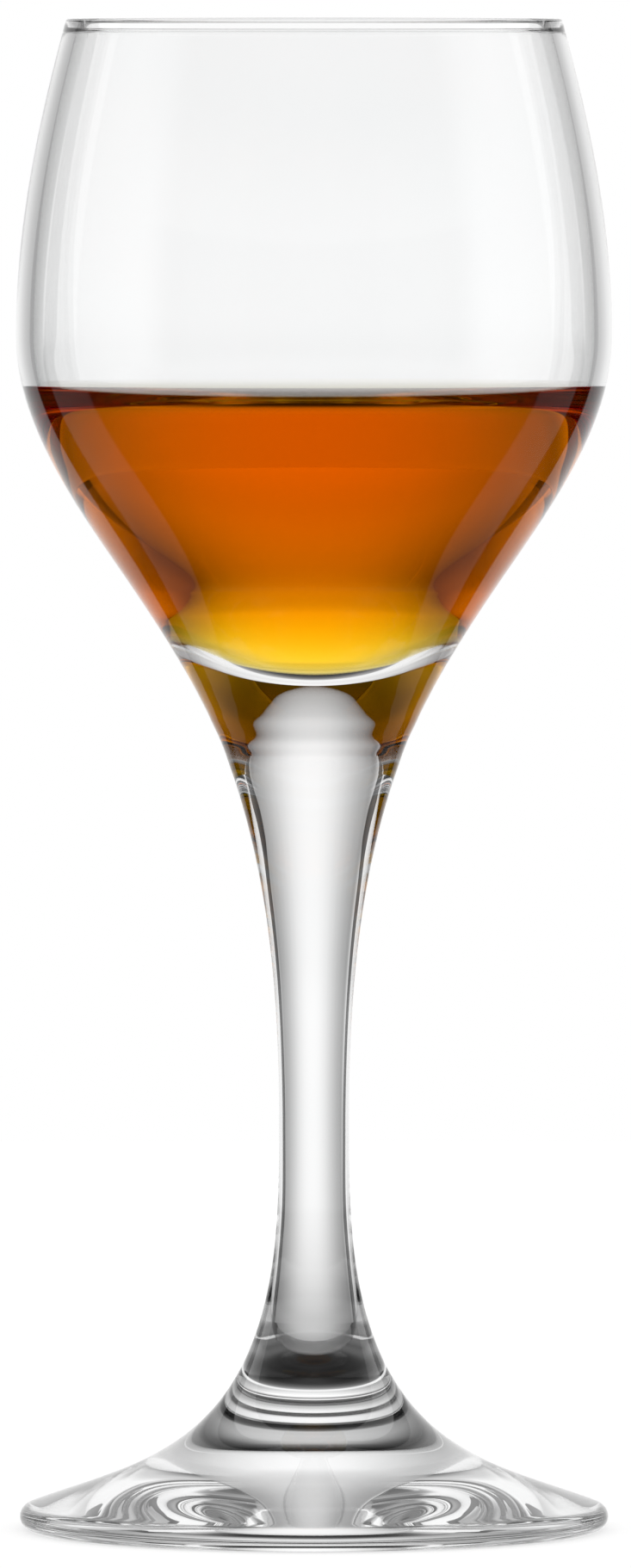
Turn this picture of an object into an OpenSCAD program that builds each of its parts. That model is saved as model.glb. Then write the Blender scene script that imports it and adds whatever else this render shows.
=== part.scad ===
// Stemmed sherry glass: a pressed foot, a drawn stem and a blown bowl, fused end to end at two welds,
// with a measure of sherry in the bowl. Millimetres, +Z up, origin on the table under the foot's centre.
// Each piece is turned from an outline of points [radius, height]. An outline's lean is its angle from
// upright in degrees, positive where it flares outwards as it rises.

/* [Foot] */
// Diameter of the foot across its rounded edge
foot_d = 54.6; // [48:0.1:64]
// Height of the foot from the table to the weld under the stem
foot_h = 17.8; // [15:0.1:22]
// Thickness of the rounded edge
edge_t = 2.4; // [1.6:0.1:3]
// Slope of the top face where it leaves the edge, in degrees above the table
foot_slope = 20.4; // [16:0.1:24]
// Width of the flat ring that the foot stands on
ring_w = 1.2; // [0.6:0.1:4]
// Slope of the cone pressed into the underside, in degrees above the table
hollow_slope = 3.3; // [1:0.1:8]
// Diameter of the cone's rounded tip
tip_d = 14; // [4:0.5:24]

/* [Stem] */
// Length of the stem between its two welds
stem_len = 54.2; // [45:0.1:80]
// Diameter of the weld between foot and stem
root_d = 11.1; // [9:0.1:14]
// Lean of the outline at that weld, inwards, in degrees
root_lean = 20; // [14:0.5:26]
// Diameter of the waist
waist_d = 6.5; // [5:0.1:8.5]
// Height of the waist above the lower weld
waist_h = 20.5; // [14:0.1:28]
// Diameter of the weld between stem and bowl
neck_d = 16.5; // [13:0.1:19]
// Lean of the outline at that weld, outwards, in degrees
neck_lean = 20.8; // [15:0.1:26]

/* [Bowl] */
// Height of the bowl from the weld to the top of the lip
bowl_h = 68; // [60:0.1:85]
// Height above the weld at which the lower bowl flares most
flank_h = 14.8; // [12:0.1:18]
// Outside diameter there
flank_d = 32.9; // [30:0.1:36]
// Lean of the outline there, outwards, in degrees
flank_lean = 33.9; // [28:0.1:40]
// Height of the belly, the widest level, above the weld
belly_h = 38.8; // [33:0.1:46]
// Outside diameter of the belly
belly_d = 55.2; // [50:0.1:64]
// Outside diameter where the rounded lip begins
rim_d = 46.4; // [40:0.1:54]
// Lean of the wall at the lip, inwards, in degrees
rim_lean = 15; // [8:0.5:20]
// Height of the rounded lip above the plain wall
lip_h = 1; // [0.6:0.1:1.6]
// Thickness of the wall at the lip
rim_wall = 1.3; // [0.9:0.1:2]
// Thickness of the wall at the belly
belly_wall = 1.6; // [1:0.1:2.5]
// Thickness of the wall where it is thinnest, just above the level at which the lower bowl flares most
side_wall = 1.3; // [1:0.1:2]
// Distance along the wall from that level up to there
side_lift = 3.1; // [1.5:0.1:5]
// Solid glass between the weld and the floor of the bowl
base_t = 8.6; // [7:0.1:11]
// Slope of the floor, a shallow cone, in degrees above level
floor_slope = 31.7; // [27:0.1:36]
// Diameter of the floor's rounded middle
round_d = 12; // [8:0.5:18]
// Diameter at which the floor's cone begins to turn up into the wall
corner_d = 29.6; // [27:0.1:31]

/* [Sherry] */
// Depth of the sherry at the middle of the bowl
sherry_depth = 23.8; // [16:0.1:34]
// Climb of the sherry up the wall
meniscus_h = 2; // [1:0.05:2.4]
// Capillary length of the sherry, which sets how far that climb reaches away from the wall
capillary = 1.8; // [1.7:0.05:2.2]
// Clearance that keeps the sherry's skin off the glass
wet_gap = 0.02; // [0.01:0.01:0.2]

/* [Hidden] */
$fn = 96;
// Straight pieces in each curve of an outline
steps = 16;
// Share of its chord that each handle of a curve takes, and the longer one at the foot's root
handle = 1 / 3;
root_handle = 0.45;

// Levels, stacked up from the table
weld_z = foot_h + stem_len;
top_z = weld_z + bowl_h;
floor_z = weld_z + base_t;
level_z = floor_z + sherry_depth;

// A unit step along an outline that leans by a, and the unit step outwards across it
function along(a) = [sin(a), cos(a)];
function across(a) = [cos(a), -sin(a)];

function bezier(a, b, c, d, t) =
    pow(1 - t, 3) * a + 3 * pow(1 - t, 2) * t * b + 3 * (1 - t) * t * t * c + pow(t, 3) * d;

// A curve from p, where the outline leans by p_lean, to q, where it leans by q_lean
function curve(p, p_lean, q, q_lean, q_handle = handle) =
    let (
        chord = norm(q - p),
        leave = p + chord * handle * along(p_lean),
        arrive = q - chord * q_handle * along(q_lean)
    )
    [for (i = [0:steps]) bezier(p, leave, arrive, q, i / steps)];

// An arc about c, on the half axes u and v, from angle a to angle b
function arc(c, u, v, a, b) =
    [for (i = [0:steps]) let (t = a + (b - a) * i / steps) c + u * cos(t) + v * sin(t)];

function backwards(points) = [for (i = [len(points) - 1:-1:0]) points[i]];

// Points of the outer outline, from the table up
edge_r = edge_t / 2;
edge_c = [foot_d / 2 - edge_r, edge_r];
edge_lean = foot_slope - 90;
edge_arc = arc(edge_c, [edge_r, 0], [0, edge_r], -90, -edge_lean);
edge_top = edge_arc[steps];
root = [root_d / 2, foot_h];
waist = [waist_d / 2, foot_h + waist_h];
neck = [neck_d / 2, weld_z];
flank = [flank_d / 2, weld_z + flank_h];
belly = [belly_d / 2, weld_z + belly_h];

// The lip is half an ellipse that stands on the wall and leans with it
lip_u = across(-rim_lean) * rim_wall / 2;
lip_v = along(-rim_lean) * lip_h;
lip_rise = norm([lip_u.y, lip_v.y]);
lip_c = [rim_d / 2 - lip_u.x, top_z - lip_rise];
lip_arc = arc(lip_c, lip_u, lip_v, 0, 180);

// The wall's inner face, from the middle of the bowl's floor up to the lip
cone_lean = 90 - floor_slope;
cone = [0, floor_z] + [1, tan(floor_slope / 2)] * round_d / 2;
corner = cone + along(cone_lean) * (corner_d - round_d) / 2 / sin(cone_lean);
inner_side = flank + along(flank_lean) * side_lift - across(flank_lean) * side_wall;
inner_belly = belly - [belly_wall, 0];
inner_wall = concat(
    curve([0, floor_z], 90, cone, cone_lean),
    curve(corner, cone_lean, inner_side, flank_lean),
    curve(inner_side, flank_lean, inner_belly, 0),
    curve(inner_belly, 0, lip_c - lip_u, -rim_lean)
);

// Radius of the inner wall at height z
function wall_r(z) = lookup(z, [for (p = inner_wall) [p.y, p.x]]);

// Distance from an upright wall, short of a constant, at which a liquid that climbs it still stands h
// above its level
function reach(h) =
    let (ratio = 2 * capillary / h)
    capillary * (ln(ratio + sqrt(ratio * ratio - 1)) - sqrt(4 - pow(h / capillary, 2)));

// Pressed foot: a flat ring to stand on, a cone pressed up inside it, and a top that sweeps up to the weld
module foot() {
    ring_r = edge_c.x - ring_w;
    tip_r = tip_d / 2;
    cone_h = (ring_r - tip_r) * tan(hollow_slope);
    tip_h = cone_h + tip_r * tan(hollow_slope / 2);
    hollow = curve([0, tip_h], 90, [tip_r, cone_h], 90 + hollow_slope);
    top = curve(edge_top, edge_lean, root, -root_lean, root_handle);
    color("gainsboro", 0.6)
        rotate_extrude()
            polygon(concat(hollow, [[ring_r, 0]], edge_arc, top, [[0, foot_h]]));
}

// Drawn stem: solid glass that narrows to the waist and flares again to carry the bowl
module stem() {
    lower = curve(root, -root_lean, waist, 0);
    upper = curve(waist, 0, neck, neck_lean);
    color("whitesmoke", 0.6)
        rotate_extrude()
            polygon(concat([[0, foot_h]], lower, upper, [[0, weld_z]]));
}

// Blown bowl: solid at the weld, thinning upwards past the belly to the rounded lip
module bowl() {
    lower = curve(neck, neck_lean, flank, flank_lean);
    middle = curve(flank, flank_lean, belly, 0);
    upper = curve(belly, 0, lip_c + lip_u, -rim_lean);
    color("aliceblue", 0.45)
        rotate_extrude()
            polygon(concat([[0, weld_z]], lower, middle, upper, lip_arc, backwards(inner_wall)));
}

// Sherry: fills the bowl to its level and climbs the wall in a meniscus
module sherry() {
    contact_z = level_z + meniscus_h;
    contact_r = wall_r(contact_z) - wet_gap;
    wetted = [for (p = inner_wall) if (p.y < contact_z - wet_gap) [max(p.x - wet_gap, 0), p.y + wet_gap]];
    surface = [
        for (i = [0:2 * steps])
            let (h = meniscus_h * pow(0.0001, i / (2 * steps)))
            [contact_r - reach(h) + reach(meniscus_h), level_z + h]
    ];
    color("chocolate", 0.85)
        rotate_extrude()
            polygon(concat(wetted, surface, [[0, level_z]]));
}

foot();
stem();
bowl();
sherry();
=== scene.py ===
"""A stemmed sherry glass, part filled with sherry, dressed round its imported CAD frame.

Outlines are in millimetres and degrees, as in the part's own source, and meshes are in metres.
An outline's points are (radius, height), and its lean is its angle from upright, positive where it
flares outwards as it rises.
"""

import logging
import math
from abc import ABC, abstractmethod
from collections.abc import Mapping, Sequence
from dataclasses import dataclass
from enum import Enum, IntEnum
from typing import Any, ClassVar

import bpy
import numpy as np
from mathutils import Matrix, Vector

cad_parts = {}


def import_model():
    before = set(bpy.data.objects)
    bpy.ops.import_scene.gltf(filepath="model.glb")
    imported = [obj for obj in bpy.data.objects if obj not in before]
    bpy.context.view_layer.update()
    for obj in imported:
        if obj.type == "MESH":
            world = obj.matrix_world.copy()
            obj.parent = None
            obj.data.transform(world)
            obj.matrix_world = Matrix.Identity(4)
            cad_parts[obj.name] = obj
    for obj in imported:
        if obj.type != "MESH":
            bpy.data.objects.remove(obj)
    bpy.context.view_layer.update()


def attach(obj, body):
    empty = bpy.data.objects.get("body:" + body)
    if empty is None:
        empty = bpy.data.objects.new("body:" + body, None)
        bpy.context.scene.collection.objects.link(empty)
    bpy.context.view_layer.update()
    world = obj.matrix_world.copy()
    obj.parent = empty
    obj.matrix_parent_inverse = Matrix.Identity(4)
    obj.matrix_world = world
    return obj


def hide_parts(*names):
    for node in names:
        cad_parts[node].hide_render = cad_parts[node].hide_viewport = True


LOG = logging.getLogger("sherry_glass")
MM = 0.001
BODY = "root"
IMAGE_LONG_SIDE = 1822
LIGHT_PATH = "ShaderNodeLightPath"
BOUNCES = 32

# Straight pieces in each curve of an outline, and flats round each turned ring
STEPS = 48
SIDES = 288
# Share of its chord that each handle of a curve takes
HANDLE = 1 / 3
# Heights nearer than this count as the same
NEAR = 1e-5

Colour = tuple[float, float, float, float]
Span = tuple[float, float]
Stops = tuple[tuple[float, float], ...]
CLEAR: Colour = (1.0, 1.0, 1.0, 1.0)


def along(lean: float) -> Vector:
    """A unit step along an outline that leans by so many degrees."""
    return Vector((math.sin(math.radians(lean)), math.cos(math.radians(lean))))


def across(lean: float) -> Vector:
    """A unit step outwards across an outline that leans by so many degrees."""
    return Vector((math.cos(math.radians(lean)), -math.sin(math.radians(lean))))


def curve(
    p: Vector, p_lean: float, q: Vector, q_lean: float, q_handle: float = HANDLE
) -> list[Vector]:
    """A smooth stretch of outline between two points.

    Args:
        p: The point that the curve leaves.
        p_lean: The outline's lean there.
        q: The point that it arrives at.
        q_lean: The outline's lean there.
        q_handle: The share of the chord that the arriving handle takes.

    Returns:
        The curve's points, both ends among them.
    """
    chord = (q - p).length
    leave = p + along(p_lean) * (chord * HANDLE)
    arrive = q - along(q_lean) * (chord * q_handle)
    points = []
    for i in range(STEPS + 1):
        t = i / STEPS
        s = 1 - t
        points.append(
            p * s**3 + leave * (3 * s * s * t) + arrive * (3 * s * t * t) + q * t**3
        )
    return points


def arc(c: Vector, u: Vector, v: Vector, start: float, end: float) -> list[Vector]:
    """Part of an ellipse.

    Args:
        c: The ellipse's centre.
        u: The half axis at 0 degrees.
        v: The half axis at 90 degrees.
        start: The angle of the first point.
        end: The angle of the last point.

    Returns:
        The arc's points, both ends among them.
    """
    angles = np.radians(np.linspace(start, end, STEPS // 2 + 1))
    return [c + u * math.cos(a) + v * math.sin(a) for a in angles]


class Skin(Enum):
    """What a stretch of a piece's surface borders on."""

    AIR = "air"
    FUSED = "fused"
    WETTED = "wetted"


@dataclass(frozen=True)
class Stretch:
    """A run of outline points whose surface borders on one thing."""

    points: Sequence[Vector]
    skin: Skin = Skin.AIR


class Lathe:
    """Turns outlines on the upright axis into closed, smooth meshes."""

    SHARP: ClassVar[float] = math.radians(30)
    SAME: ClassVar[float] = 1e-6

    def __init__(self, sides: int = SIDES) -> None:
        """Sets the lathe up.

        Args:
            sides: How many flats go round each turned ring.
        """
        self.sides = sides

    def turn(self, name: str, stretches: Sequence[Stretch]) -> bpy.types.Object:
        """Turns an outline that starts and ends on the axis.

        Args:
            name: The new object's name.
            stretches: The outline, in order, with its outside on the right. Each starts where the
                last one ends.

        Returns:
            The turned object, with one material index for each kind of skin, in the order of
            their first use.
        """
        outline = [stretches[0].points[0]]
        skins: list[Skin] = []
        for stretch in stretches:
            for point in stretch.points:
                if (point - outline[-1]).length > self.SAME:
                    outline.append(point)
                    skins.append(stretch.skin)
        kinds = list(dict.fromkeys(skins))
        vertices, rings = self._rings(outline)
        faces, indices = [], []
        for low, high, skin in zip(rings, rings[1:], skins):
            added = self._band(low, high)
            faces += added
            indices += [kinds.index(skin)] * len(added)
        mesh = bpy.data.meshes.new(name)
        mesh.from_pydata(vertices, [], faces)
        mesh.polygons.foreach_set("material_index", indices)
        mesh.polygons.foreach_set("use_smooth", [True] * len(faces))
        mesh.set_sharp_from_angle(angle=self.SHARP)
        mesh.update()
        piece = bpy.data.objects.new(name, mesh)
        bpy.context.scene.collection.objects.link(piece)
        return piece

    def _rings(
        self, outline: Sequence[Vector]
    ) -> tuple[list[tuple[float, float, float]], list[list[int]]]:
        """Turns each outline point into a ring of vertices, or into one on the axis.

        Args:
            outline: The outline's points.

        Returns:
            The vertices, and the numbers of those in each ring.
        """
        turns = [2 * math.pi * j / self.sides for j in range(self.sides)]
        vertices: list[tuple[float, float, float]] = []
        rings = []
        for r, z in outline:
            start = len(vertices)
            if r < self.SAME:
                vertices.append((0.0, 0.0, z * MM))
            else:
                vertices += [
                    (r * math.cos(a) * MM, r * math.sin(a) * MM, z * MM) for a in turns
                ]
            rings.append(list(range(start, len(vertices))))
        return vertices, rings

    def _band(self, low: Sequence[int], high: Sequence[int]) -> list[tuple[int, ...]]:
        """Joins two rings, either of which may be a vertex on the axis.

        Args:
            low: The numbers of the first ring's vertices.
            high: The numbers of the next ring's vertices.

        Returns:
            The faces between them.
        """
        faces: list[tuple[int, ...]] = []
        for j in range(self.sides):
            k = (j + 1) % self.sides
            if len(low) == 1:
                faces.append((low[0], high[k], high[j]))
            elif len(high) == 1:
                faces.append((low[j], low[k], high[0]))
            else:
                faces.append((low[j], low[k], high[k], high[j]))
        return faces


class Value:
    """A shader socket that Python's operators extend with Math nodes."""

    def __init__(self, tree: "ShaderTree", socket: bpy.types.NodeSocket) -> None:
        """Wraps a socket.

        Args:
            tree: The tree that the socket is in.
            socket: The output that gives the value.
        """
        self.tree = tree
        self.socket = socket

    def math(self, operation: str, *others: "Value | float") -> "Value":
        """The result of a Math node on this value and others."""
        sockets = dict(enumerate((self, *others)))
        return self.tree.node("ShaderNodeMath", {"operation": operation}, sockets)

    def __add__(self, other: "Value | float") -> "Value":
        """This value plus another."""
        return self.math("ADD", other)

    __radd__ = __add__

    def __sub__(self, other: "Value | float") -> "Value":
        """This value less another."""
        return self.math("SUBTRACT", other)

    def __rsub__(self, other: float) -> "Value":
        """A number less this value."""
        return (self * -1) + other

    def __mul__(self, other: "Value | float") -> "Value":
        """This value times another."""
        return self.math("MULTIPLY", other)

    __rmul__ = __mul__

    def __truediv__(self, other: "Value | float") -> "Value":
        """This value over another."""
        return self.math("DIVIDE", other)

    def __rtruediv__(self, other: float) -> "Value":
        """A number over this value."""
        return self.math("POWER", -1) * other

    def stops(self, points: Sequence[tuple[float, float]]) -> "Value":
        """Reads a smooth line at this value.

        Args:
            points: Points of the line, as (this value, level).

        Returns:
            The line's level.
        """
        low, high = points[0][0], points[-1][0]
        places = [((place - low) / (high - low), level) for place, level in points]
        share = (self - low) / (high - low)
        return self.tree.node("ShaderNodeValToRGB", {"stops": places}, {0: share})

    def ramp(self, low: float, high: float) -> "Value":
        """A smooth step.

        Args:
            low: Where it starts, at 0. Where this is the greater, the step runs the other way.
            high: Where it ends, at 1.

        Returns:
            The step's level at this value.
        """
        lo, hi, start, end = (low, high, 0.0, 1.0) if low < high else (high, low, 1.0, 0.0)
        return self.tree.node(
            "ShaderNodeMapRange",
            {"interpolation_type": "SMOOTHSTEP"},
            {"Value": self, "From Min": lo, "From Max": hi, "To Min": start, "To Max": end},
        )

    def is_count(self, count: int) -> "Value":
        """1 where this whole number is the count, and 0 where it is another."""
        return self.ramp(count - 0.8, count - 0.2) * self.ramp(count + 0.8, count + 0.2)


class ShaderTree:
    """The nodes of one material or world, built from nothing."""

    def __init__(self, owner: bpy.types.Material | bpy.types.World) -> None:
        """Clears the tree.

        Args:
            owner: The material or world whose nodes are replaced.
        """
        owner.use_nodes = True
        self.nodes = owner.node_tree.nodes
        self.links = owner.node_tree.links
        self.nodes.clear()

    def node(
        self,
        kind: str,
        settings: Mapping[str, Any] | None = None,
        sockets: Mapping[str | int, Any] | None = None,
        output: str | int = 0,
    ) -> Value:
        """Adds a node.

        Args:
            kind: The node's type.
            settings: Its settings, set first.
            sockets: The number, colour or link for each input, by name or place.
            output: The output to return, by name or place.

        Returns:
            That output's value.
        """
        made = self.nodes.new(kind)
        for name, setting in (settings or {}).items():
            if name == "stops":
                self._set_stops(made.color_ramp, setting)
            else:
                setattr(made, name, setting)
        for key, given in (sockets or {}).items():
            if isinstance(given, Value):
                self.links.new(given.socket, made.inputs[key])
            else:
                made.inputs[key].default_value = given
        return Value(self, made.outputs[output] if made.outputs else None)

    @staticmethod
    def _set_stops(
        ramp: bpy.types.ColorRamp, stops: Sequence[tuple[float, float]]
    ) -> None:
        """Gives a colour ramp its stops.

        Args:
            ramp: The colour ramp.
            stops: Its stops, as (place, level).
        """
        ramp.interpolation = "CARDINAL"
        while len(ramp.elements) < len(stops):
            ramp.elements.new(0.5)
        for element, (place, level) in zip(ramp.elements, stops):
            element.position = place
            element.color = (level, level, level, 1.0)


@dataclass(frozen=True)
class Film:
    """The faint film on a clear surface, which tints and dulls it unevenly."""

    tint: Colour
    roughness: float
    scale: float
    detail: float
    tinted: Span = (0.3, 0.7)
    dulled: Span = (0.5, 0.75)

    def spread(self, tree: ShaderTree, place: Value) -> Value:
        """How much film lies at each place.

        Args:
            tree: The surface's nodes.
            place: The place on the piece.

        Returns:
            The amount, from 0 to 1.
        """
        sockets = {"Vector": place, "Scale": self.scale, "Detail": self.detail}
        return tree.node("ShaderNodeTexNoise", None, sockets)

    def surface(self, tree: ShaderTree, amount: Value, ior: float, bump: Value) -> Value:
        """A clear surface under the film.

        Args:
            tree: The surface's nodes.
            amount: How much film lies at each place.
            ior: How strongly the surface bends light.
            bump: The surface's waves.

        Returns:
            The surface's shader.
        """
        tint = tree.node(
            "ShaderNodeMix",
            {"data_type": "RGBA"},
            {0: amount.ramp(*self.tinted), 6: CLEAR, 7: self.tint},
            2,
        )
        return tree.node(
            "ShaderNodeBsdfPrincipled",
            None,
            {
                "Base Color": tint,
                "Roughness": amount.ramp(*self.dulled) * self.roughness,
                "IOR": ior,
                "Transmission Weight": 1.0,
                "Normal": bump,
            },
        )


@dataclass(frozen=True)
class ClearGlass:
    """Colourless fire-polished glass, with the faint waves that fire polishing leaves."""

    ior: float = 1.515
    wave_scale: float = 140.0
    wave_height: float = 0.00001
    wave_detail: float = 1.0
    wave_stretch: tuple[float, float, float] = (1.0, 1.0, 0.3)
    film: Film = Film((0.992, 0.997, 0.998, 1.0), roughness=0.02, scale=60.0, detail=3.0)

    def material(self) -> bpy.types.Material:
        """Makes the glass where it borders on air.

        Returns:
            The glass.
        """
        made = bpy.data.materials.new("clear_glass")
        tree = ShaderTree(made)
        place = tree.node("ShaderNodeTexCoord", None, None, "Object")
        drawn = tree.node("ShaderNodeMapping", None, {"Vector": place, "Scale": self.wave_stretch})
        waves = tree.node(
            "ShaderNodeTexNoise",
            None,
            {"Vector": drawn, "Scale": self.wave_scale, "Detail": self.wave_detail},
        )
        bump = tree.node("ShaderNodeBump", None, {"Distance": self.wave_height, "Height": waves})
        amount = self.film.spread(tree, place)
        shader = self.film.surface(tree, amount, self.ior, bump)
        tree.node("ShaderNodeOutputMaterial", None, {"Surface": shader})
        return made


@dataclass(frozen=True)
class FusedJoin:
    """A face at which glass meets glass at a weld, or sherry at the wall.

    Light crosses it unbent.
    """

    def material(self) -> bpy.types.Material:
        """Makes the face's material.

        Returns:
            The clear face.
        """
        made = bpy.data.materials.new("fused_join")
        tree = ShaderTree(made)
        tree.node(
            "ShaderNodeOutputMaterial",
            None,
            {"Surface": tree.node("ShaderNodeBsdfTransparent")},
        )
        return made


@dataclass(frozen=True)
class AmberSherry:
    """Clear amber sherry, which darkens with depth and bends light less than the glass round it."""

    glass: ClearGlass
    ior: float = 1.36
    density: float = 600.0
    colour: Colour = (0.9863, 0.9183, 0.5, 1.0)
    ripple_height: float = 0.000008
    film: Film = Film((1.0, 0.985, 0.95, 1.0), roughness=0.015, scale=45.0, detail=2.0)

    def material(self) -> bpy.types.Material:
        """Makes the liquid and its skin, which is free where the mesh attribute wetted is 0.

        Returns:
            The liquid.
        """
        made = bpy.data.materials.new("amber_sherry")
        tree = ShaderTree(made)
        place = tree.node("ShaderNodeTexCoord", None, None, "Object")
        amount = self.film.spread(tree, place)
        ripples = {"Distance": self.ripple_height, "Height": amount}
        bump = tree.node("ShaderNodeBump", None, ripples)
        free = self.film.surface(tree, amount, self.ior, bump)
        bend = self.ior / self.glass.ior
        wetted = tree.node("ShaderNodeBsdfGlass", None, {"Roughness": 0.0, "IOR": bend})
        mask = tree.node("ShaderNodeAttribute", {"attribute_name": "wetted"}, None, "Fac")
        skin = tree.node("ShaderNodeMixShader", None, {0: mask, 1: free, 2: wetted})
        dye = {"Color": self.colour, "Density": self.density}
        depth = tree.node("ShaderNodeVolumeAbsorption", None, dye)
        tree.node("ShaderNodeOutputMaterial", None, {"Surface": skin, "Volume": depth})
        return made


class TurnedPiece(ABC):
    """A piece turned on the glass's axis, which stands for a CAD node."""

    node: ClassVar[str]
    name: ClassVar[str]
    slot: ClassVar[str]

    @abstractmethod
    def stretches(self) -> list[Stretch]:
        """The piece's outline from the axis at its foot, round its outside, back to the axis."""

    def build(
        self, lathe: Lathe, finishes: Mapping[Skin, bpy.types.Material]
    ) -> bpy.types.Object:
        """Turns and dresses the piece.

        Args:
            lathe: What turns the outline.
            finishes: The material for each kind of skin.

        Returns:
            The piece, riding on the glass's one body in place of its CAD node.
        """
        stretches = self.stretches()
        piece = lathe.turn(self.name, stretches)
        for skin in dict.fromkeys(s.skin for s in stretches):
            piece.data.materials.append(finishes[skin])
        self.mark(piece)
        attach(piece, BODY)
        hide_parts(self.node)
        return piece

    def mark(self, piece: bpy.types.Object) -> None:
        """Adds what the piece's materials read from its mesh."""


@dataclass
class Foot(TurnedPiece):
    """Pressed round foot: a standing ring, a shallow cone in it and a top that sweeps up."""

    node: ClassVar[str] = "foot"
    name: ClassVar[str] = "foot_glass"
    slot: ClassVar[str] = "clear_glass"

    diameter: float = 54.6
    height: float = 17.8
    edge_thickness: float = 2.4
    slope: float = 20.4
    ring_width: float = 1.2
    hollow_slope: float = 3.3
    tip_diameter: float = 14.0
    root_diameter: float = 11.1
    root_lean: float = 20.0
    root_handle: float = 0.45

    @property
    def root(self) -> Vector:
        """The outline's point at the weld under the stem."""
        return Vector((self.root_diameter / 2, self.height))

    def stretches(self) -> list[Stretch]:
        """Draws the hollow, the standing ring, the edge, the top and the weld.

        Returns:
            The outline, in that order.
        """
        r = self.edge_thickness / 2
        centre = Vector((self.diameter / 2 - r, r))
        ring = Vector((centre.x - self.ring_width, 0))
        lean = 90 + self.hollow_slope
        reach = ring.x - self.tip_diameter / 2
        cone = ring - along(lean) * (reach / along(lean).x)
        tip_rise = math.tan(math.radians(self.hollow_slope / 2)) * cone.x
        hollow = [*curve(Vector((0, cone.y + tip_rise)), 90, cone, lean), ring]
        edge = arc(centre, Vector((r, 0)), Vector((0, r)), -90, 90 - self.slope)
        top = curve(edge[-1], self.slope - 90, self.root, -self.root_lean, self.root_handle)
        return [
            Stretch([*hollow, *edge, *top]),
            Stretch([Vector((0, self.height))], Skin.FUSED),
        ]


@dataclass(frozen=True)
class Weld:
    """What fusing bowl to stem leaves in their outline: a faint groove and fainter rings above."""

    groove_depth: float = 0.05
    groove_half: float = 2.2
    groove_rise: float = 0.8
    ring_height: float = 0.01
    ring_pitch: float = 2.45
    ring_start: float = 2.1
    ring_reach: float = 9.0

    def work(self, points: Sequence[Vector], level: float) -> list[Vector]:
        """Moves an outline's points as the weld left them.

        Args:
            points: The plain outline.
            level: The weld's height.

        Returns:
            The worked outline.
        """
        return [p + Vector((self.move(p.y - level), 0)) for p in points]

    def move(self, rise: float) -> float:
        """How far the outline moves outwards.

        Args:
            rise: Height above the weld.

        Returns:
            The move, which is less than 0 where the weld draws the outline in.
        """
        t = (rise - self.groove_rise) / self.groove_half
        groove = self.groove_depth * (1 + math.cos(math.pi * t)) / 2 if abs(t) < 1 else 0.0
        fade = min(1.0, max(0.0, rise / self.ring_pitch)) * max(0.0, 1 - rise / self.ring_reach)
        turns = (rise - self.ring_start) / self.ring_pitch
        return self.ring_height * fade * math.sin(2 * math.pi * turns) - groove


@dataclass
class Stem(TurnedPiece):
    """Drawn stem: solid glass that narrows to the waist and flares again to carry the bowl."""

    node: ClassVar[str] = "stem"
    name: ClassVar[str] = "stem_glass"
    slot: ClassVar[str] = "clear_glass"

    foot: Foot
    weld: Weld = Weld()
    length: float = 54.2
    waist_diameter: float = 6.5
    waist_height: float = 20.5
    neck_diameter: float = 16.5
    neck_lean: float = 20.8

    @property
    def neck(self) -> Vector:
        """The outline's point at the weld under the bowl."""
        return Vector((self.neck_diameter / 2, self.foot.height + self.length))

    def stretches(self) -> list[Stretch]:
        """Draws the lower weld, the side and the upper weld.

        Returns:
            The outline, in that order.
        """
        root, neck = self.foot.root, self.neck
        waist = Vector((self.waist_diameter / 2, root.y + self.waist_height))
        upper = self.weld.work(curve(waist, 0, neck, self.neck_lean), neck.y)
        return [
            Stretch([Vector((0, root.y)), root], Skin.FUSED),
            Stretch([*curve(root, -self.foot.root_lean, waist, 0), *upper]),
            Stretch([Vector((0, neck.y))], Skin.FUSED),
        ]


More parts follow.
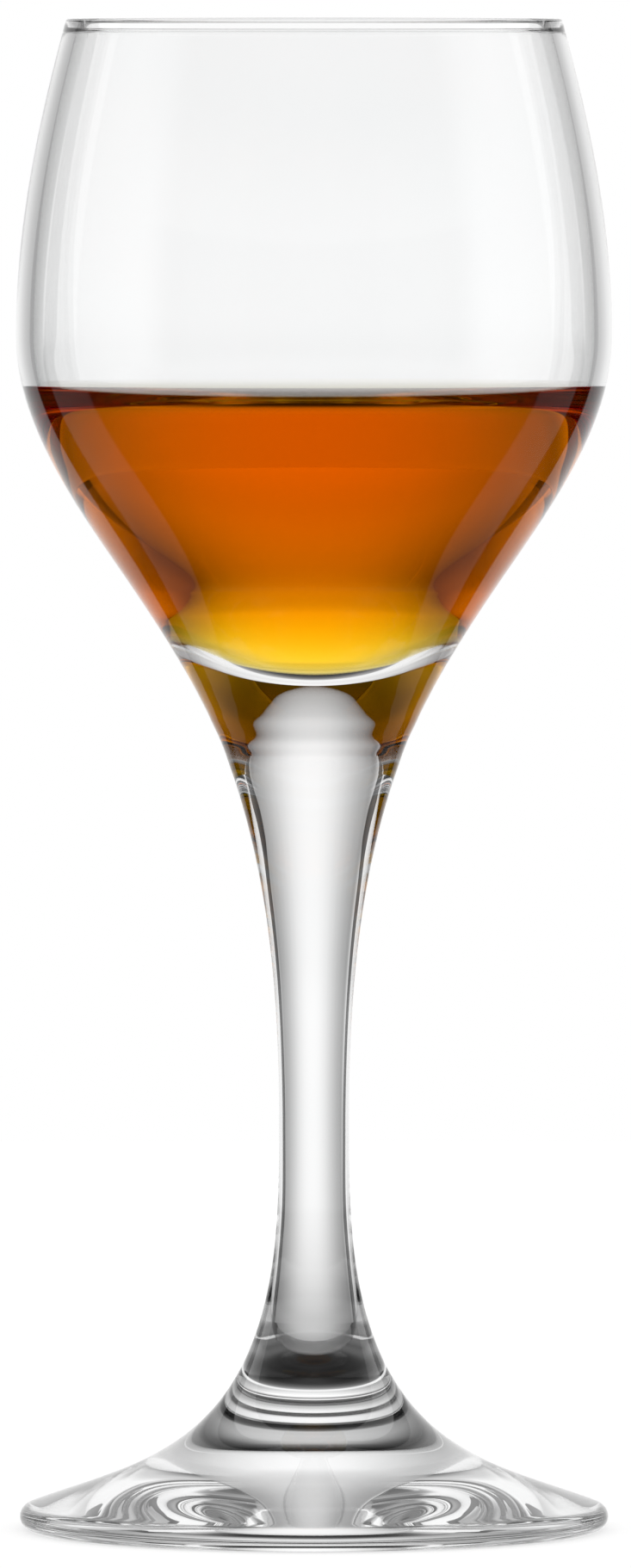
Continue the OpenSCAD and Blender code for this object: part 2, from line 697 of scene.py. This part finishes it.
@dataclass
class Bowl(TurnedPiece):
    """Blown bowl: solid at the weld, thinning upwards past the belly to a rounded lip."""

    node: ClassVar[str] = "bowl"
    name: ClassVar[str] = "bowl_glass"
    slot: ClassVar[str] = "clear_glass"

    stem: Stem
    height: float = 68.0
    flank_height: float = 14.8
    flank_diameter: float = 32.9
    flank_lean: float = 33.9
    belly_height: float = 38.8
    belly_diameter: float = 55.2
    rim_diameter: float = 46.4
    rim_lean: float = 15.0
    lip_height: float = 1.0
    lip_softness: float = 0.2
    groove_drop: float = 1.2
    groove_half: float = 0.13
    groove_depth: float = 0.05
    rim_wall: float = 1.3
    belly_wall: float = 1.6
    side_wall: float = 1.3
    side_lift: float = 3.1
    base_thickness: float = 8.6
    floor_slope: float = 31.7
    round_diameter: float = 12.0
    corner_diameter: float = 29.6
    sherry_depth: float = 23.8
    meniscus_height: float = 2.0

    @property
    def floor(self) -> Vector:
        """The outline's point in the middle of the bowl's floor."""
        return Vector((0, self.stem.neck.y + self.base_thickness))

    @property
    def flank(self) -> Vector:
        """The outline's point where the lower bowl flares most."""
        return Vector((self.flank_diameter / 2, self.stem.neck.y + self.flank_height))

    @property
    def belly(self) -> Vector:
        """The outline's point at the widest level."""
        return Vector((self.belly_diameter / 2, self.stem.neck.y + self.belly_height))

    @property
    def contact(self) -> float:
        """The level at which the sherry's meniscus meets the wall."""
        return self.floor.y + self.sherry_depth + self.meniscus_height

    def lip(self) -> list[Vector]:
        """Draws the lip, with its level top and a faint groove on each side.

        Returns:
            Its points, from the outer wall to the inner one.
        """
        lean = -self.rim_lean
        up, out = along(lean), across(lean)
        top = self.stem.neck.y + self.height
        outer = Vector((self.rim_diameter / 2, top - self.lip_height * up.y))
        outer += up * ((top - outer.y) / up.y)
        inner = outer - Vector((self.rim_wall / out.x, 0))
        soft = Vector((self.lip_softness, 0))
        rise = up * self.lip_softness
        return [
            *self.groove(outer - up * (self.groove_drop / up.y), up, -out),
            *curve(outer - rise, lean, outer - soft, -90),
            *curve(inner + soft, -90, inner - rise, lean - 180),
            *self.groove(inner - up * (self.groove_drop / up.y), -up, out),
        ]

    def groove(self, middle: Vector, way: Vector, inward: Vector) -> list[Vector]:
        """A shallow groove across an outline.

        Args:
            middle: Where the plain outline passes its middle.
            way: The way that the outline runs.
            inward: The way into the glass.

        Returns:
            The groove's points.
        """
        shares = np.linspace(-1, 1, STEPS // 2 + 1)
        return [
            middle
            + way * (t * self.groove_half)
            + inward * (self.groove_depth * (1 + math.cos(math.pi * t)) / 2)
            for t in shares
        ]

    def inner_wall(self) -> list[Vector]:
        """Draws the wall's inner face.

        Returns:
            Its points from the floor's middle to the lip, with one at the contact level.
        """
        lean = 90 - self.floor_slope
        rise = math.tan(math.radians(self.floor_slope / 2))
        cone = self.floor + Vector((1, rise)) * (self.round_diameter / 2)
        reach = (self.corner_diameter - self.round_diameter) / 2
        corner = cone + along(lean) * (reach / along(lean).x)
        side = self.flank + along(self.flank_lean) * self.side_lift
        side -= across(self.flank_lean) * self.side_wall
        belly = self.belly - Vector((self.belly_wall, 0))
        points = [
            *curve(self.floor, 90, cone, lean),
            *curve(corner, lean, side, self.flank_lean),
            *curve(side, self.flank_lean, belly, 0)[1:],
            *curve(belly, 0, self.lip()[-1], -self.rim_lean)[1:],
        ]
        level = self.contact
        i = next(i for i, p in enumerate(points) if p.y > level)
        share = (level - points[i - 1].y) / (points[i].y - points[i - 1].y)
        return [*points[:i], points[i - 1].lerp(points[i], share), *points[i:]]

    def stretches(self) -> list[Stretch]:
        """Draws the weld, the outside, the lip, the dry wall and the wetted wall.

        Returns:
            The outline, in that order.
        """
        neck, lip, inner = self.stem.neck, self.lip(), self.inner_wall()[::-1]
        lower = curve(neck, self.stem.neck_lean, self.flank, self.flank_lean)
        outer = [
            *self.stem.weld.work(lower, neck.y),
            *curve(self.flank, self.flank_lean, self.belly, 0),
            *curve(self.belly, 0, lip[0], -self.rim_lean),
        ]
        level = self.contact
        return [
            Stretch([Vector((0, neck.y)), outer[0]], Skin.FUSED),
            Stretch([*outer, *lip, *(p for p in inner if p.y > level - NEAR)]),
            Stretch([p for p in inner if p.y < level + NEAR], Skin.WETTED),
        ]


@dataclass
class Sherry(TurnedPiece):
    """The sherry: it fills the bowl to its level and climbs the wall in a meniscus."""

    node: ClassVar[str] = "sherry"
    name: ClassVar[str] = "sherry_liquid"
    slot: ClassVar[str] = "sherry"

    bowl: Bowl
    capillary: float = 1.8
    gap: float = 0.02
    least_climb: float = 1e-4

    def reach(self, climb: float) -> float:
        """How far from an upright wall a liquid that climbs it still stands so high."""
        ratio = 2 * self.capillary / climb
        return self.capillary * math.acosh(ratio) - math.sqrt(4 * self.capillary**2 - climb**2)

    def stretches(self) -> list[Stretch]:
        """Draws the wetted wall, and the free surface with its meniscus.

        Returns:
            The outline, in that order.
        """
        level = self.bowl.contact - self.bowl.meniscus_height
        inner = self.bowl.inner_wall()
        wetted = [inner[0] + Vector((0, self.gap))] + [
            p + Vector((-self.gap, self.gap))
            for p in inner
            if p.x > self.gap * 2 and p.y < self.bowl.contact - self.gap * 2
        ]
        edge = next(p for p in inner if abs(p.y - self.bowl.contact) < NEAR)
        reach = edge.x - self.gap
        start = self.reach(self.bowl.meniscus_height)
        surface = []
        for t in np.linspace(0, 1, 2 * STEPS + 1):
            climb = self.bowl.meniscus_height * self.least_climb**t
            inward = self.reach(climb) - start
            surface.append(Vector((reach - inward, level + climb)))
        surface.append(Vector((0, level)))
        return [
            Stretch([*wetted, surface[0]], Skin.WETTED),
            Stretch(surface),
        ]

    def mark(self, piece: bpy.types.Object) -> None:
        """Marks the wetted faces, whose material is the first, and leaves one material.

        Args:
            piece: The turned sherry.
        """
        mesh = piece.data
        mask = mesh.attributes.new("wetted", "FLOAT", "FACE")
        index = np.zeros(len(mesh.polygons), np.int32)
        mesh.polygons.foreach_get("material_index", index)
        mask.data.foreach_set("value", (index == 0).astype(np.float32))
        mesh.polygons.foreach_set("material_index", np.zeros(len(index), np.int32))
        mesh.materials.pop(index=1)


@dataclass
class Camera:
    """The photograph's camera: far off, a little above the sherry, looking slightly down."""

    place: tuple[float, float, float] = (0.000135, -1.6, 0.132)
    pitch: float = 2.2488
    focal_pixels: float = 20075.3
    sensor: float = 36.0

    def set_up(self) -> None:
        """Makes the camera and gives it to the scene."""
        data = bpy.data.cameras.new("camera")
        data.sensor_width = self.sensor
        data.lens = self.sensor * self.focal_pixels / IMAGE_LONG_SIDE
        camera = bpy.data.objects.new("camera", data)
        camera.location = self.place
        camera.rotation_euler = (math.radians(90 - self.pitch), 0, 0)
        bpy.context.scene.collection.objects.link(camera)
        bpy.context.scene.camera = camera


class Faces(IntEnum):
    """How many faces light meets on its way through a part of the glass."""

    WALL = 2
    BOWL = 4


@dataclass(frozen=True)
class Ray:
    """A ray that reaches the world.

    Its bearing from the back, that bearing's size and its rise are in degrees, and its depth is one
    more than the faces that it has met.
    """

    bearing: Value
    turn: Value
    rise: Value
    depth: Value

    @classmethod
    def read(cls, tree: ShaderTree) -> "Ray":
        """Reads the ray in a world's nodes.

        Args:
            tree: The world's nodes.

        Returns:
            The ray.
        """
        way = tree.node("ShaderNodeTexCoord", None, None, "Generated")
        x, y, z = (tree.node("ShaderNodeSeparateXYZ", None, {0: way}, axis) for axis in "XYZ")
        bearing = x.math("ARCTAN2", y) * math.degrees(1)
        rise = z.math("ARCSINE") * math.degrees(1)
        depth = tree.node(LIGHT_PATH, None, None, "Ray Depth")
        return cls(bearing, bearing.math("ABSOLUTE"), rise, depth)


@dataclass
class Studio:
    """A bright back panel and side boxes with dark gaps between them, over a white table.

    A span of two numbers is where something fades in, or out where the first is the greater. Angles
    are in degrees: sideways from the back, and up from level.
    """

    # White table, the ring of painted light on it that shows through the bowl, and what of it shows
    # through the mouth
    floor_radius: float = 0.6
    floor_drop: float = 0.00005
    floor_sides: int = 96
    floor_glow: float = 0.7
    floor_colour: Colour = (0.35, 0.35, 0.35, 1.0)
    table_light: float = 1.0
    table_back: Span = (-0.02, 0.02)
    painted_ring_from: Span = (0.14, 0.2)
    painted_ring_to: Span = (0.33, 0.42)
    painted_ring_least_faces: Span = (2.4, 3.4)
    painted_ring_most_faces: Span = (5.4, 4.4)
    mouth_from: Span = (0.19, 0.21)
    mouth_low: Span = (-33.0, -30.0)
    mouth_high: Span = (-19.0, -21.0)
    mouth_sides: Span = (95.0, 85.0)

    # Back panel, and the brighter spot in it that lights the sherry
    panel_light: float = 1.03
    panel_middle: float = 2.0
    panel_sides: Span = (52.0, 40.0)
    hot_spot: float = 0.32
    spot_low: Span = (2.0, 8.0)
    spot_high: Span = (22.0, 10.0)
    spot_sides: Span = (32.0, 12.0)

    # Gap between the panel and each box
    panel_edge: float = 41.0
    box_near: float = 51.0
    edge_soft: float = 0.5
    gap_light: float = 0.13
    gap_shift: float = 6.0
    bowl_panel_shift: float = 1.0
    bowl_box_shift: float = 3.0
    stem_gap_low: Span = (-42.0, -34.0)
    bowl_gap_low: Span = (6.0, 12.0)

    # Side boxes, the dome over the front, and the room and the table before the glass
    box_from: Span = (48.0, 58.0)
    box_top: Span = (31.0, 45.0)
    box_loss: float = 0.62
    dome_low: Span = (10.0, 24.0)
    front_light: float = 0.1
    front_from: Span = (100.0, 120.0)
    front_high: Span = (24.0, 10.0)
    front_depth: Span = (4.4, 5.4)
    near_loss: float = 0.78
    near_from: Span = (98.0, 118.0)
    near_low: Span = (-50.0, -36.0)
    near_high: Span = (-16.0, -20.0)
    near_depth: Span = (4.8, 4.2)

    # What the glass reflects
    shine: float = 0.22
    shine_edge: float = 36.0
    shine_near: float = 50.0
    shine_far: float = 75.0
    shine_soft: float = 1.0
    shine_level: Span = (-5.0, 3.0)
    facing_light: float = 0.5
    facing_loss: float = 0.25
    facing_high: Span = (30.0, 42.0)

    # Brightness of the back panel at each angle from its middle
    across_panel: ClassVar[Stops] = (
        (0, 1.0),
        (5, 0.98),
        (10, 0.92),
        (15, 0.82),
        (20, 0.70),
        (25, 0.59),
        (30, 0.50),
        (36, 0.43),
        (43, 0.43),
        (50, 0.9),
        (58, 1.0),
        (70, 1.1),
        (180, 1.0),
    )
    # Brightness of the back panel at each rise
    up_panel: ClassVar[Stops] = (
        (0, 1.0),
        (24, 1.0),
        (28, 0.92),
        (31, 0.84),
        (36, 0.74),
        (42, 0.64),
        (60, 0.5),
        (90, 0.5),
    )
    # Brightness of everything at each rise below level
    below: ClassVar[Stops] = (
        (-90, 0.008),
        (-69, 0.01),
        (-52, 0.045),
        (-40, 0.22),
        (-30, 0.54),
        (-23, 0.60),
        (-17, 0.74),
        (-8, 0.93),
        (2, 1.0),
    )
    # Share of its shift by which the gap stands further out at each rise
    gap_lean: ClassVar[Stops] = (
        (-20, 0.35),
        (-13, 0.4),
        (-8, 0.25),
        (-5, 0.42),
        (-3, 0.67),
        (0, 0.92),
        (9, 0.8),
        (13, 0.67),
        (16, 0.25),
        (18, 0.0),
        (23, 0.25),
        (28, 0.92),
        (40, 0.92),
    )
    # Brightness of the dome at each angle from the back
    dome: ClassVar[Stops] = (
        (0, 1.0),
        (85, 1.0),
        (92, 0.9),
        (99, 0.6),
        (105, 0.38),
        (115, 0.23),
        (127, 0.17),
        (180, 0.25),
    )

    def set_up(self) -> None:
        """Makes the world and the floor."""
        self.light()
        self.lay_floor()

    def light(self) -> None:
        """Lights the scene from all round: white to the camera, and a studio to the glass."""
        world = bpy.data.worlds.new("studio")
        bpy.context.scene.world = world
        tree = ShaderTree(world)
        ray = Ray.read(tree)
        camera = tree.node(LIGHT_PATH, None, None, "Is Camera Ray")
        passed = tree.node(LIGHT_PATH, None, None, "Is Transmission Ray")
        glossy = tree.node(LIGHT_PATH, None, None, "Is Glossy Ray")
        shown = passed * self.shown_through(ray) + (1 - passed) * self.reflected(ray)
        seen = camera + glossy * shown
        diffuse = (1 - camera) * (1 - glossy)
        glow = tree.node(
            "ShaderNodeBackground", None, {"Color": CLEAR, "Strength": seen + diffuse}
        )
        tree.node("ShaderNodeOutputWorld", None, {"Surface": glow})

    def shown_through(self, ray: Ray) -> Value:
        """The brightness that shows through the glass.

        Args:
            ray: The ray that left the glass.

        Returns:
            The brightness where it heads.
        """
        turn, rise = ray.turn, ray.rise
        bowl = ray.depth.is_count(Faces.BOWL + 1)
        from_middle = (ray.bearing - self.panel_middle).math("ABSOLUTE")
        high = 1 - (1 - rise.stops(self.up_panel)) * turn.ramp(*self.panel_sides)
        spot = rise.ramp(*self.spot_low) * rise.ramp(*self.spot_high)
        spot *= turn.ramp(*self.spot_sides)
        sides = 1 - turn.ramp(*self.box_from) * rise.ramp(*self.box_top) * self.box_loss
        level = from_middle.stops(self.across_panel) * rise.stops(self.below) * high
        level *= self.front(ray) * (1 + spot * bowl * self.hot_spot) * sides
        level *= (1 - self.gap(ray, bowl) * (1 - self.gap_light)) * self.panel_light
        mouth = ray.depth.is_count(Faces.WALL + 2) * turn.ramp(*self.mouth_sides)
        mouth *= rise.ramp(*self.mouth_low) * rise.ramp(*self.mouth_high)
        return level * (1 - mouth) + mouth * self.table_light

    def front(self, ray: Ray) -> Value:
        """The brightness of the room's front half.

        Args:
            ray: The ray that left the glass.

        Returns:
            The brightness where it heads, which is 1 in the back half.
        """
        turn, rise = ray.turn, ray.rise
        dome = 1 - (1 - turn.stops(self.dome)) * rise.ramp(*self.dome_low)
        room = turn.ramp(*self.front_from) * rise.ramp(*self.front_high)
        room *= ray.depth.ramp(*self.front_depth)
        near = turn.ramp(*self.near_from) * rise.ramp(*self.near_low)
        near *= rise.ramp(*self.near_high) * ray.depth.ramp(*self.near_depth)
        return dome * (1 - room * (1 - self.front_light)) * (1 - near * self.near_loss)

    def gap(self, ray: Ray, bowl: Value) -> Value:
        """Where the gap between the panel and a box is.

        Args:
            ray: The ray that left the glass.
            bowl: 1 where it crossed the bowl, or else 0.

        Returns:
            1 in the gap and 0 beside it.
        """
        stem = 1 - bowl
        soft = self.edge_soft
        place = ray.turn - ray.rise.stops(self.gap_lean) * stem * self.gap_shift
        inner = place - bowl * self.bowl_panel_shift
        outer = place - bowl * self.bowl_box_shift
        between = inner.ramp(self.panel_edge - soft, self.panel_edge + soft)
        between *= outer.ramp(self.box_near + soft, self.box_near - soft)
        low = ray.rise.ramp(*self.stem_gap_low) * stem + ray.rise.ramp(*self.bowl_gap_low) * bowl
        return between * low

    def reflected(self, ray: Ray) -> Value:
        """The brightness that the glass's skin reflects.

        Args:
            ray: The ray that the skin reflected.

        Returns:
            The brightness where it heads.
        """
        turn, soft = ray.turn, self.shine_soft
        above = ray.rise.ramp(*self.shine_level)
        panel = turn.ramp(self.shine_edge + soft, self.shine_edge - soft)
        dark = turn.ramp(self.shine_edge - soft, self.shine_edge + soft)
        dark *= turn.ramp(self.shine_near + soft, self.shine_near - soft)
        facing = turn.ramp(self.shine_far - soft, self.shine_far + soft)
        steep = ray.rise.ramp(*self.facing_high) * self.facing_loss
        dark += facing * (1 - above * (self.facing_light - steep))
        side = self.shine + above * (1 - self.shine)
        return (1 - dark) * (side + panel * (turn.stops(self.across_panel) - side))

    def lay_floor(self) -> None:
        """Lays the white table under the foot."""
        rim = Vector((self.floor_radius / MM, -self.floor_drop / MM))
        outline = [Stretch([rim, Vector((0, rim.y))])]
        floor = Lathe(self.floor_sides).turn("floor", outline)
        made = bpy.data.materials.new("white_table")
        tree = ShaderTree(made)
        camera = tree.node(LIGHT_PATH, None, None, "Is Camera Ray")
        glossy = tree.node(LIGHT_PATH, None, None, "Is Glossy Ray")
        glow = tree.node("ShaderNodeEmission", None, {"Strength": camera * self.floor_glow})
        matt = tree.node("ShaderNodeBsdfDiffuse", None, {"Color": self.floor_colour})
        table = tree.node("ShaderNodeAddShader", None, {0: glow, 1: matt})
        far = self.table_through_glass(tree)
        top = tree.node("ShaderNodeMixShader", None, {0: glossy, 1: table, 2: far})
        tree.node("ShaderNodeOutputMaterial", None, {"Surface": top})
        floor.data.materials.append(made)

    def table_through_glass(self, tree: ShaderTree) -> Value:
        """The table as the glass shows it: clear, but for a ring of painted light, an emission that
        shows through the bowl.

        Light through the open mouth's far wall is counted once more where it crosses the table, so
        that the world can tell it from light through the stem.

        Args:
            tree: The table's nodes.

        Returns:
            The table's shader.
        """
        place = tree.node("ShaderNodeTexCoord", None, None, "Object")
        x, y = (tree.node("ShaderNodeSeparateXYZ", None, {0: place}, axis) for axis in "XY")
        out = (x * x + y * y).math("SQRT")
        faces = tree.node(LIGHT_PATH, None, None, "Ray Depth")
        passed = tree.node(LIGHT_PATH, None, None, "Is Transmission Ray")
        back = y.ramp(*self.table_back)
        # Painted light: the ring where the table glows for rays that crossed the bowl's faces, an
        # emission and no lamp
        painted_ring = out.ramp(*self.painted_ring_from) * (1 - back * out.ramp(*self.painted_ring_to)) * passed
        painted_ring *= faces.ramp(*self.painted_ring_least_faces) * faces.ramp(*self.painted_ring_most_faces)
        mouth = out.ramp(*self.mouth_from) * faces.is_count(Faces.WALL)
        # The painted glow of that ring
        bright = tree.node("ShaderNodeEmission", None, {"Strength": self.table_light})
        clear = tree.node("ShaderNodeBsdfTransparent")
        counted = tree.node("ShaderNodeBsdfRefraction", None, {"Roughness": 0.0, "IOR": 1.0})
        crossed = tree.node("ShaderNodeMixShader", None, {0: mouth, 1: clear, 2: counted})
        return tree.node("ShaderNodeMixShader", None, {0: painted_ring, 1: crossed, 2: bright})


def main() -> None:
    """Builds the glass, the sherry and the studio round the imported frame."""
    logging.basicConfig(level=logging.INFO, format="%(name)s: %(message)s")
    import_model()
    Camera().set_up()
    Studio().set_up()
    scene = bpy.context.scene
    scene.view_settings.view_transform = "Standard"
    scene.cycles.max_bounces = BOUNCES
    scene.cycles.transmission_bounces = BOUNCES
    scene.cycles.glossy_bounces = BOUNCES // 2
    scene.cycles.transparent_max_bounces = BOUNCES

    finish = ClearGlass()
    glass = finish.material()
    join = FusedJoin().material()
    skins = {Skin.AIR: glass, Skin.FUSED: join, Skin.WETTED: join}
    liquid = AmberSherry(finish).material()
    lathe = Lathe()
    foot = Foot()
    stem = Stem(foot)
    bowl = Bowl(stem)
    for piece in (foot, stem, bowl):
        made = piece.build(lathe, skins)
        LOG.info("%s: %d faces", made.name, len(made.data.polygons))
    made = Sherry(bowl).build(lathe, {Skin.AIR: liquid, Skin.WETTED: liquid})
    LOG.info("%s: %d faces", made.name, len(made.data.polygons))


if __name__ == "__main__":
    main()
